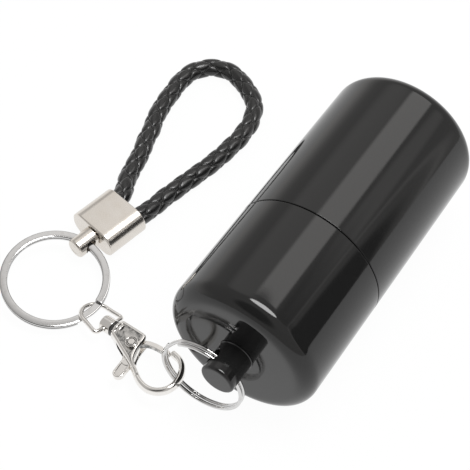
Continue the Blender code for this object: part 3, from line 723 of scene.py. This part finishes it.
def steel_finish():
    """Polished spring steel: drawn lines along the wire, small dull patches and painted shade along the
    band's edges.
    """
    steel = Finish("polished steel")
    lines = steel.streaks(25.0, 1600.0, 1.0)
    patches = steel.streaks(500.0, 900.0, 3.0)
    dull = steel.step(patches, 0.45, 0.75)
    colour = steel.mix(dull * 0.5 + lines * 0.5, grey(0.72), grey(0.54, 0.02))
    # Painted shade on the marked edges
    colour = steel.mix(steel.mark("film") * 0.8, colour, grey(0.12, 0.03))
    return steel.surface(
        Base_Color=colour,
        Metallic=1.0,
        Roughness=0.06 + lines * 0.06 + dull * 0.06,
        Normal=steel.bump(lines * 0.7 + patches * 0.3, strength=0.10, distance=0.00004),
    )


polished_steel = steel_finish()
key_radius = 0.01577
key_band = 0.0024
key_layer = 0.00093
key_rise = 0.00102
key_step_at = math.radians(-12.2)
key_step_half = math.radians(17.0)
key_normal = unit(np.array([0.136, -0.040, 1.0]))
key_seat = joint_places["key_ring_swing"]
to_bail = unit(np.cross(joint_axes["key_ring_swing"], key_normal))
key_frame = frame_at(key_seat - to_bail * key_radius, key_normal, (1, 0, 0))
key_winding = wound(key_radius, key_rise, key_step_at, key_step_half, way_round=-1)
key_path = in_frame(key_frame, key_winding)
key_section = superoval(key_band, key_layer, steps=44, power=4.5)
# Painted shade along the edges of the band, between its turns
key_painted_shade = (abs(key_section[:, 0]) > key_band * 0.42) & (abs(key_section[:, 1]) > key_layer * 0.30)
key_shell = swept(key_path, key_section, key_normal, end_rounding=0.00012, film=key_painted_shade[None] * 1.0)
fit(piece("key_ring_band", [key_shell], polished_steel), "key_ring", "key_ring")


# The clasp
# A swivel clasp cast in zinc and plated with polished nickel. Its body has a raised rim round a
# sunk field on both faces, a slot for the lever, a hook of oval section and a collar.
clasp_length = 0.041
clasp_x = joint_axes["swivel_turn"]
clasp_y = joint_axes["clasp_pitch"]
clasp_z = joint_axes["lever_press"]
clasp_origin = joint_places["swivel_turn"]
clasp_frame = frame_at(clasp_origin, clasp_z, clasp_x)
swivel_frame = frame_at(clasp_origin, clasp_x, clasp_y)
clasp_half_thickness = 0.0025
body_left_shares = [(0.300, -0.068), (0.380, -0.099), (0.456, -0.131), (0.551, -0.168), (0.639, -0.206),
                    (0.715, -0.248)]
body_inner_shares = [(0.740, -0.224), (0.672, -0.190), (0.610, -0.144), (0.580, -0.093), (0.563, -0.026),
                     (0.560, 0.024)]
body_right_shares = [(0.541, 0.071), (0.440, 0.073), (0.300, 0.073)]
hook_route_shares = [(0.640, -0.187), (0.700, -0.222), (0.760, -0.249), (0.835, -0.259), (0.905, -0.238),
                     (0.958, -0.185), (0.975, -0.113), (0.958, -0.037), (0.915, 0.027), (0.860, 0.064),
                     (0.790, 0.077)]
hook_width = 0.0020
hook_depth = 0.0029
slot_start = 0.385 * clasp_length
slot_end = 0.625 * clasp_length
slot_half = 0.00155
slot_reach = 0.02
body_softening = 5
pivot_at = np.array([0.505, -0.049]) * clasp_length


def clasp_run(shares, per_span):
    """A smooth run of points on the clasp from shares of its length."""
    return smooth(np.array(shares) * clasp_length, per_span)


def mean_beside(values, reach):
    """Round a closed outline, the mean of each value and of its neighbours on both sides."""
    return np.mean([np.roll(values, shift, axis=0) for shift in range(-reach, reach + 1)], axis=0)


def inset_reach(outline):
    """The most that each point of an outline may move inwards: 0.42 of the least straight distance to
    a point that is over 1.6 times as far away along the outline. Without such a point it is infinite."""
    apart = np.linalg.norm(outline[:, None] - outline[None], axis=2)
    along = lengths(np.concatenate([outline, outline[:1]]))
    run = abs(along[:-1, None] - along[None, :-1])
    run = np.minimum(run, along[-1] - run)
    apart[run < 1.6 * apart + 0.00001] = np.inf
    return apart.min(axis=1) * 0.42


def stacked(outline, levels, at, field_from=1.0, wall=0.0, facing=(1, 0), soften=0):
    """Copies of an outline, each moved inwards along its own normal by an inset and lifted to a
    height, joined in order and closed by a flat face at both ends. Each normal is the mean of those
    of the points up to soften steps away, for tight corners. The painted shade mark picks what lies
    further in than field_from, and the walls nearer the middle plane than wall where they face one way."""
    before = np.roll(outline, 1, axis=0)
    after = np.roll(outline, -1, axis=0)
    turn = unit(after - before)
    inward = np.stack([-turn[:, 1], turn[:, 0]], axis=-1)
    x, y = outline.T
    if (x * np.roll(y, -1) - np.roll(x, -1) * y).sum() < 0:
        inward = -inward
    inward = mean_beside(inward, soften)
    reach = inset_reach(outline)
    levels = np.array(levels, float)
    inset = np.minimum(levels[:, :1], reach[None])
    flat = outline[None] + inward[None] * inset[..., None]
    height = np.broadcast_to(levels[:, 1:], inset.shape)
    local = np.concatenate([flat, height[..., None]], axis=-1)
    walls = (abs(levels[:, 1:]) < wall) & (inward @ facing < -0.2)
    return grid(in_frame(at, local), True, film=((levels[:, :1] > field_from) | walls) * 1.0)


def rimmed(half, edge, rim, sunk, slope):
    """Levels of a plate with rounded edges and, on both faces, a rim round a sunk field."""
    turns = np.linspace(0, math.pi / 2, 10)
    upper = [(edge * (1 - math.sin(t)), half - edge * (1 - math.cos(t))) for t in turns[::-1]]
    upper = [(0.0, half - edge * 1.3), *upper, (edge + rim * 0.15, half), (rim, half),
             (rim + slope * 0.3, half - sunk * 0.15), (rim + slope, half - sunk),
             (rim + slope * 1.3, half - sunk)]
    return [(inset, -height) for inset, height in reversed(upper)] + upper


def nickel_finish():
    """Polished nickel plate on a casting: uneven under the plate, with painted shade in its sunk
    parts and on walls that face one way, and darker painted shade in grooves and gaps."""
    nickel = Finish("polished nickel")
    clouds = nickel.noise(620.0, 4.0, 0.62)
    pits = nickel.noise(5200.0, 3.0)
    # Painted shade in the sunk field and on walls that face one way, mottled by the clouds
    film = nickel.mark("film") * (0.45 + nickel.step(clouds, 0.40, 0.60) * 0.55) * 0.9
    groove = nickel.mark("groove")
    colour = nickel.mix(clouds, (0.78, 0.76, 0.735, 1), (0.90, 0.88, 0.85, 1))
    colour = nickel.mix(film, colour, (0.09, 0.094, 0.094, 1))
    # Darker painted shade in grooves and gaps
    colour = nickel.mix(groove, colour, (0.03, 0.03, 0.03, 1))
    return nickel.surface(
        Base_Color=colour,
        Metallic=1.0,
        Roughness=0.07 + clouds * 0.08 + film * 0.14,
        Normal=nickel.bump(clouds * 0.95 + pits * 0.05, strength=0.22, distance=0.00009),
    )


polished_nickel = nickel_finish()
body_outline = np.concatenate([clasp_run(body_left_shares, 8), clasp_run(body_inner_shares, 10),
                               clasp_run(body_right_shares, 8)])
body_outline = even(np.concatenate([body_outline, body_outline[:1]]), spacing=0.00022)[:-1]
body_outline = mean_beside(body_outline, body_softening)
body_levels = rimmed(clasp_half_thickness, edge=0.0007, rim=0.00095, sunk=0.0001, slope=0.00025)
# The sunk field and the walls that face one way get painted shade
body_shell = stacked(body_outline, body_levels, clasp_frame, field_from=0.001, wall=0.0022,
                     soften=body_softening)
clasp_body = piece("clasp_body_cast", [body_shell], polished_nickel)
slot_levels = [(0.0, -slot_half), (0.0, slot_half)]
slot_outline = np.array([(slot_start, -slot_reach), (slot_end, -slot_reach),
                         (slot_end, slot_reach), (slot_start, slot_reach)])
rivet_frame = frame_at(in_frame(clasp_frame, (*pivot_at, 0)), clasp_z, clasp_x)
rivet_hole = {"at": rivet_frame, "radius": 0.0013, "flare_from": 0.0040, "reach": 0.0042}
collar_low = 0.298 * clasp_length
collar_seat = collar_low + 0.002
collar_high = collar_low + 0.0027
chamber_low = 0.0112
chamber_high = 0.0168
neck_bore = 0.0016
head_bore = 0.0021
chamber_profile = np.array([(0, chamber_high), (head_bore, chamber_high), (head_bore, collar_seat),
                            (neck_bore, collar_seat), (neck_bore, chamber_low), (0, chamber_low)])
cut(clasp_body, cutter(stacked(slot_outline, slot_levels, clasp_frame)), hole_cutter(**rivet_hole),
    cutter(revolved(chamber_profile, swivel_frame, steps=32)), sharp_degrees=15)
collar_profile = rounded([
    (0.0024, collar_high, 0.0002), (0.0030, collar_low + 0.0022, 0.0003),
    (0.0030, collar_low + 0.00125, 0.00015), (0.0027, collar_low + 0.0011, 0.00005),
    (0.0031, collar_low + 0.0009, 0.00015), (0.0031, collar_low, 0.00045), (neck_bore, collar_low, 0.00015),
    (neck_bore, collar_seat, 0.0001), (head_bore, collar_seat, 0.0001), (head_bore, collar_high, 0.00005),
], closed=True)
collar_profile = np.concatenate([collar_profile, collar_profile[:1]])
# Painted shade in the collar's groove
collar_groove_shade = (abs(collar_profile[:, 1:] - collar_low - 0.0011) < 0.00012) * 1.0
hook_path = even(in_frame(clasp_frame, lifted(clasp_run(hook_route_shares, 10))), spacing=0.0003)
hook_section = superoval(hook_width, hook_depth, steps=28, power=2.3)
hook_root_share = 0.36
hook_root_extra = 0.68
hook_share = np.clip(np.arange(len(hook_path)) / len(hook_path) / hook_root_share, 0, 1)
hook_thickness = 1 + hook_root_extra * (1 - hook_share * hook_share * (3 - 2 * hook_share))
clasp_hook = piece("clasp_hook_and_collar", [
    swept(hook_path, hook_section, clasp_z, end_rounding=0.0005, thickness=hook_thickness),
    revolved(collar_profile, swivel_frame, steps=72, groove=collar_groove_shade),
], polished_nickel)
fit(clasp_body, "clasp", "clasp_body")
fit(clasp_hook, "clasp", "clasp_body")


# The rivet of the lever
# A pin through body and lever, plated with nickel. It has a flat head on both sides, each with
# two turned rings round its middle.
rivet_side = [
    (0, 0.0033, 0), (0.00102, 0.0033, 0.00005), (0.00108, 0.0030, 0.00004), (0.00123, 0.0030, 0.00004),
    (0.00128, 0.0033, 0.00005), (0.00147, 0.0033, 0.00005), (0.00152, 0.0030, 0.00004),
    (0.00165, 0.0030, 0.00004), (0.00169, 0.0033, 0.00005), (0.00196, 0.0033, 0.00014),
    (0.00196, 0.00256, 0.00005), (0.0010, 0.00256, 0.00006),
]
rivet_profile = rounded([*rivet_side, *(np.array(rivet_side[::-1]) * (1, -1, 1))], steps=3)
# Painted shade in the turned rings of the rivet's heads
rivet_ring_shade = ((abs(rivet_profile[:, 1:]) < 0.00312) & (rivet_profile[:, :1] < 0.00168)) * 1.0
rivet_shell = revolved(rivet_profile, rivet_frame, steps=64, groove=rivet_ring_shade)
fit(piece("lever_rivet_pin", [rivet_shell], polished_nickel), "clasp", "lever_rivet")


# The lever
# A stamped lever in the slot of the body, plated with nickel. One arm is the gate that shuts the
# hook, and the other is the thumb pad with a raised rim.
def ribbon(path, half_start, half_end):
    """The outline round a flat path: its two sides at a half width that changes evenly, and a half
    circle at each end."""
    path = np.asarray(path, float)
    along = unit(np.gradient(path, axis=0))
    left = np.stack([-along[:, 1], along[:, 0]], axis=-1)
    half = np.linspace(half_start, half_end, len(path))[:, None]
    turns = np.linspace(0, math.pi, 13)[1:-1, None]
    end = path[-1] + half_end * (np.cos(turns) * left[-1] + np.sin(turns) * along[-1])
    start = path[0] - half_start * (np.cos(turns) * left[0] + np.sin(turns) * along[0])
    return np.concatenate([path + left * half, end, (path - left * half)[::-1], start])


lever_lift = 0.0004
lever_frame = frame_at(in_frame(clasp_frame, (0, 0, lever_lift)), clasp_z, clasp_x)
lever_half = 0.00085
thumb_half = 0.00175
gate_half = 0.0195 * clasp_length
elbow_at = np.array([0.566, -0.171]) * clasp_length
thumb_at = np.array([0.583, -0.285]) * clasp_length
gate_route_shares = [(0.7585, 0.052), (0.640, 0.046), (0.560, 0.020), (0.505, -0.049)]
gate_outline = ribbon(even(clasp_run(gate_route_shares, 8), spacing=0.0004), gate_half, gate_half)
hub_outline = ribbon([pivot_at, elbow_at], 0.0023, thumb_half)
thumb_outline = ribbon([elbow_at, thumb_at], thumb_half, thumb_half)
plain_levels = rimmed(lever_half, edge=0.0002, rim=0.0006, sunk=0.0, slope=0.0001)
hub_levels = rimmed(lever_half * 0.97, edge=0.0002, rim=0.0006, sunk=0.0, slope=0.0001)
thumb_levels = rimmed(lever_half, edge=0.00022, rim=0.00055, sunk=0.00026, slope=0.00022)
# The gate's walls that face one way get painted shade
lever_arms = [stacked(thumb_outline, thumb_levels, lever_frame),
              stacked(gate_outline, plain_levels, lever_frame, wall=0.0007, facing=(0, -1))]
lever_hub = [stacked(hub_outline, hub_levels, lever_frame)]
for name, shells in (("clasp_lever_arms", lever_arms), ("clasp_lever_hub", lever_hub)):
    lever_part = piece(name, shells, polished_nickel)
    cut(lever_part, hole_cutter(**rivet_hole))
    fit(lever_part, "lever", "clasp_lever")


# The lever's spring
# A hairpin of bright spring wire, coiled round the rivet under the lever. Its fixed leg rests in
# the slot, and its free leg is hooked into the lever. Here it stays still and does not bend with the lever.
spring_wire = 0.00045
spring_coil_radius = 0.00165
spring_level = -0.000975
spring_rest = (slot_start + 0.00053, -0.074 * clasp_length)
spring_hole = np.array([0.556, -0.146]) * clasp_length
spring_turn = np.radians(np.linspace(150, -30, 11))
spring_round = pivot_at + polar(spring_coil_radius, spring_turn)
spring_flat = np.concatenate([[spring_rest], spring_round, [spring_hole]])
spring_points = [*lifted(spring_flat, spring_level), (*spring_hole, -0.0002), (*spring_hole, 0.0009)]
spring_path = even(in_frame(clasp_frame, smooth(spring_points, 6)), spacing=0.0001)
spring_section = superoval(spring_wire, spring_wire, steps=12)
spring_shell = swept(spring_path, spring_section, clasp_x, end_rounding=0.0001)
lever_spring = piece("lever_spring_wire", [spring_shell], polished_steel)
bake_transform(lever_spring)
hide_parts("lever_spring")


# The swivel barrel
# A turned barrel whose neck passes through the clasp's collar and is headed inside it. The two
# ends of the bail are sprung into holes in its sides.
barrel_low = 0.006618
barrel_high = 0.010918
barrel_radius = 0.0026
barrel_step = 0.0022
washer_radius = 0.0025
pin_radius = 0.0013
pin_head = 0.0018
pin_head_low = 0.014518
pin_head_high = 0.015518
neck_low = barrel_high + 0.0002
neck_high = collar_low - 0.0002
barrel_profile = rounded([
    (0, pin_head_high, 0), (pin_head, pin_head_high, 0.00015), (pin_head, pin_head_low, 0.0001),
    (pin_radius, pin_head_low, 0.0001), (pin_radius, neck_high, 0.0001),
    (washer_radius, neck_high, 0.0001), (washer_radius, neck_low, 0.00005),
    (barrel_step, barrel_high, 0.00005), (barrel_radius, barrel_high, 0.00030),
    (barrel_radius, barrel_low, 0.00055), (0, barrel_low, 0),
])
# Painted shade on the barrel's neck, in the gap under the collar
in_neck = barrel_profile[:, :1] < washer_radius + 0.00005
neck = (in_neck & (barrel_profile[:, 1:] > barrel_high - 0.0001)) * 1.0
barrel_shell = revolved(barrel_profile, swivel_frame, steps=72, groove=neck * 0.9)
swivel_barrel = piece("swivel_barrel_turned", [barrel_shell], polished_nickel)
bail_pin = joint_places["bail_tilt"]
bail_across = joint_axes["bail_tilt"]
for side in (-1, 1):
    hole_place = bail_pin + bail_across * side * (barrel_radius + 0.0003)
    hole_frame = frame_at(hole_place, bail_across * side, clasp_x)
    cut(swivel_barrel, hole_cutter(hole_frame, radius=0.00085, flare_from=0.0016, reach=0.0017, steps=24))
fit(swivel_barrel, "swivel", "swivel_barrel")


# The bail
# A bent loop of nickel-plated wire, sprung into the barrel, that carries the key ring.
bail_wire = 0.00142
bail_half_width = 0.0058
bow_half_width = 0.0050
bail_reach = 0.0102
bow_depth = 0.0048
bow_squareness = 2.1
bail_pitch = math.radians(9.3)
bail_up = unit(np.cross(clasp_x, bail_across))
bail_line = clasp_x * math.cos(bail_pitch) - bail_up * math.sin(bail_pitch)
bail_frame = frame_at(bail_pin, np.cross(bail_line, bail_across), bail_line)


def bail_points():
    """Half of the bail as pairs: in at the pin, a bend, a straight leg, then a quarter of a squared
    oval, whose x and y are powers of the cosine and sine. The other half is its mirror image."""
    bend = 0.001
    pin_from = 0.0013
    pin_to = 0.003
    turn = np.linspace(0, math.pi / 2, 9)
    corner = np.stack([bend * (np.cos(turn) - 1), bail_half_width - bend + bend * np.sin(turn)], axis=-1)
    turn = np.linspace(math.pi / 2, 0, 25)
    bow = np.stack([bow_depth - bail_reach - bow_depth * np.cos(turn)**(2 / bow_squareness),
                    bow_half_width * np.sin(turn)**(2 / bow_squareness)], axis=-1)
    half = np.concatenate([[(0, pin_from), (0, pin_to)], corner, bow])
    return lifted(np.concatenate([half, half[-2::-1] * (1, -1)]))


bail_path = even(in_frame(bail_frame, bail_points()), spacing=0.00025)
bail_section = superoval(bail_wire, bail_wire, steps=20)
bail_shell = swept(bail_path, bail_section, bail_frame[2], end_rounding=0.0002)
fit(piece("bail_wire", [bail_shell], polished_nickel), "bail", "swivel_bail")


# The small split ring
# Round spring wire wound twice, through the eyelet of the cap and the hook of the clasp.
small_wire = 0.0011
small_rise = 0.00132
small_radius = 0.01298
small_hang = 0.01275
small_step_at = math.radians(273.0)
small_step_half = math.radians(15.0)
small_lean = math.radians(3.0)
ring_turn = math.radians(36.7)
hole_middle = joint_places["small_ring_swing"]
hole_axis = joint_axes["small_ring_swing"]
hang = (np.array([-math.sin(ring_turn), 0, -math.cos(ring_turn)]) * math.cos(small_lean)
        - np.array([0, math.sin(small_lean), 0]))
small_normal = np.cross(hole_axis, hang)
small_frame = frame_at(hole_middle + hang * small_hang, small_normal, -hang)
small_winding = wound(small_radius, small_rise, small_step_at, small_step_half, way_round=1)
small_path = in_frame(small_frame, small_winding)
small_section = superoval(small_wire, small_wire, steps=32)
small_shell = swept(small_path, small_section, small_normal, end_rounding=0.00018)
small_ring = piece("small_split_ring_wire", [small_shell], polished_steel)
fit(small_ring, "small_ring", "small_split_ring")


# The cap
# A deep cup turned from aluminium and anodised gloss black, with a rounded end, a thread inside
# and a hole in which the eyelet is riveted.
near_face = np.array([0.0305, -0.0410, 0.024])
tube_frame = frame_at(near_face, (0, 1, 0), (1, 0, 0))
tube_radius = 0.024
tube_length = 0.0986
cap_length = 0.038
shoulder = 0.0383
thread_lead = 0.002
thread_depth = 0.0004
thread_rows = 0.00016
tube_steps = 240
outside = 0.0232


def with_rows(profile, low, high):
    """A profile with more points on its straight runs inside the cap, between two heights."""
    found = []
    for here, after in zip(profile[:-1], profile[1:]):
        found.append([here])
        run = abs(after[1] - here[1])
        if run > thread_rows * 2 and abs(after[0] - here[0]) < thread_rows and here[0] < outside:
            share = np.arange(1, round(run / thread_rows))[:, None] * thread_rows / run
            extra = here + (after - here) * share
            found.append(extra[(extra[:, 1] >= low) & (extra[:, 1] <= high)])
    return np.concatenate([*found, [profile[-1]]])


def threaded(profile, low, high, offset):
    """A surface of revolution whose radius, between two heights, also follows a rounded wave of the
    height over the lead less the turn, which is a right-handed screw."""
    turn = whole_turn(tube_steps)
    radius = np.broadcast_to(profile[:, :1], (len(profile), tube_steps))
    height = np.broadcast_to(profile[:, 1:], radius.shape)
    wave = np.clip(1.5 * np.cos(2 * math.pi * height / thread_lead - turn), -1, 1)
    fade = np.clip((height - low) / thread_lead, 0, 1) * np.clip((high - height) / thread_lead, 0, 1)
    inside = (height >= low) & (height <= high) & (radius < outside)
    radius = np.where(inside, radius + (offset + thread_depth / 2 * wave) * np.minimum(fade * 2, 1), radius)
    return grid(in_frame(tube_frame, polar(radius, turn, height)))


def anodised_finish():
    """Gloss black anodised aluminium: faint turning lines, fine grain and a few soft smudges."""
    black = Finish("gloss black anodised aluminium")
    grain = black.noise(3600.0, 3.0, 0.6)
    lines = black.streaks(7000.0, 30.0, 2.0)
    smudge = black.step(black.noise(55.0, 4.0, 0.6), 0.5, 0.72)
    return black.surface(
        Base_Color=black.mix(grain, grey(0.0055), grey(0.013)),
        Metallic=0.0,
        IOR=1.45,
        Roughness=0.035 + smudge * 0.05 + grain * 0.05,
        Normal=black.bump(grain * 0.7 + lines * 0.3, strength=0.09, distance=0.00005),
    )


black_anodised = anodised_finish()
cap_end = 0.003
cap_hole = 0.0030
cap_bore = 0.0225
cap_mouth = 0.02285
cap_mouth_from = 0.0356
cap_thread_from = 0.0262
cap_profile = rounded([
    (tube_radius, cap_length, 0.00022), (tube_radius, 0, 0.005), (cap_hole, 0, 0.0001),
    (cap_hole, cap_end, 0.0001), (cap_bore, cap_end, 0.0012), (cap_bore, cap_mouth_from, 0.0001),
    (cap_mouth, cap_mouth_from, 0.0001), (cap_mouth, cap_length, 0.0001),
], steps=10, closed=True)
cap_profile = with_rows(np.concatenate([cap_profile, cap_profile[:1]]), cap_thread_from, 0.0355)
cap_thread = threaded(cap_profile, cap_thread_from, 0.0354, 0.00022)
fit(piece("cap_turned", [cap_thread], black_anodised), "cap", "cap_shell")


# The eyelet of the cap
# A turned black stud, riveted through the end of the cap, with a cross hole for the split ring.
eyelet_radius = 0.0053
eyelet_length = 0.010
eyelet_neck = 0.0027
eyelet_head = 0.0045
eyelet_head_low = 0.0033
eyelet_head_high = 0.0045
eyelet_foot = 0.00555
eyelet_foot_low = -0.0003
eyelet_foot_high = -0.00005
eyelet_profile = rounded([
    (0, eyelet_head_high, 0), (eyelet_head, eyelet_head_high, 0.0002),
    (eyelet_head, eyelet_head_low, 0.0001), (eyelet_neck, eyelet_head_low, 0.0001),
    (eyelet_neck, eyelet_foot_high, 0.00005), (eyelet_foot, eyelet_foot_high, 0.00008),
    (eyelet_foot, eyelet_foot_low, 0.0001), (eyelet_radius, eyelet_foot_low - 0.00015, 0.00005),
    (eyelet_radius, -eyelet_length, 0.0008), (0, -eyelet_length, 0),
])
eyelet = piece("cap_eyelet_stud", [revolved(eyelet_profile, tube_frame, steps=128)], black_anodised)
eyelet_hole_frame = frame_at(hole_middle, hole_axis, (0, 1, 0))
cut(eyelet, hole_cutter(eyelet_hole_frame, radius=0.0023, flare_from=0.0051, reach=0.0058))
fit(eyelet, "cap", "cap_eyelet")


# The seal
# A black rubber ring in the groove beside the shoulder of the tube, which makes it watertight.
def rubber_finish():
    """Matt black rubber with a faint bloom and fine grain."""
    rubber = Finish("black rubber")
    grain = rubber.noise(2600.0, 3.0)
    return rubber.surface(
        Base_Color=rubber.mix(grain, grey(0.010), grey(0.024)),
        Roughness=0.5 + grain * 0.2,
        Normal=rubber.bump(grain, strength=0.1, distance=0.00005),
    )


seal_place = (0.02205, 0.0373)
seal_half = 0.00055
seal_turn = np.arange(25) / 24 * 2 * math.pi
seal_profile = seal_place + polar(seal_half, seal_turn)
seal = piece("seal_ring_rubber", [revolved(seal_profile, tube_frame, steps=160)], rubber_finish())
fit(seal, "seal", "seal_ring")


# The tube
# A cup drawn and turned from aluminium, closed at its far end, with a neck that screws into the
# cap. It is anodised gloss black like the cap.
tube_bore = 0.0207
tube_floor = 0.0956
tube_neck = 0.0222
tube_neck_end = 0.0283
groove_radius = 0.0212
groove_from = 0.0363
tube_thread_span = (0.0288, 0.0361)
tube_profile = rounded([
    (0, tube_length, 0), (tube_radius, tube_length, 0.0046), (tube_radius, shoulder, 0.00022),
    (groove_radius, shoulder, 0.00005), (groove_radius, groove_from, 0.00005),
    (tube_neck, groove_from, 0.0001), (tube_neck, tube_neck_end, 0.0004),
    (tube_bore, tube_neck_end, 0.0003), (tube_bore, tube_floor, 0.0025), (0, tube_floor, 0),
], steps=10)
tube_thread = threaded(with_rows(tube_profile, *tube_thread_span), *tube_thread_span, -0.00008)
fit(piece("tube_turned", [tube_thread], black_anodised), "tube", "tube_body")
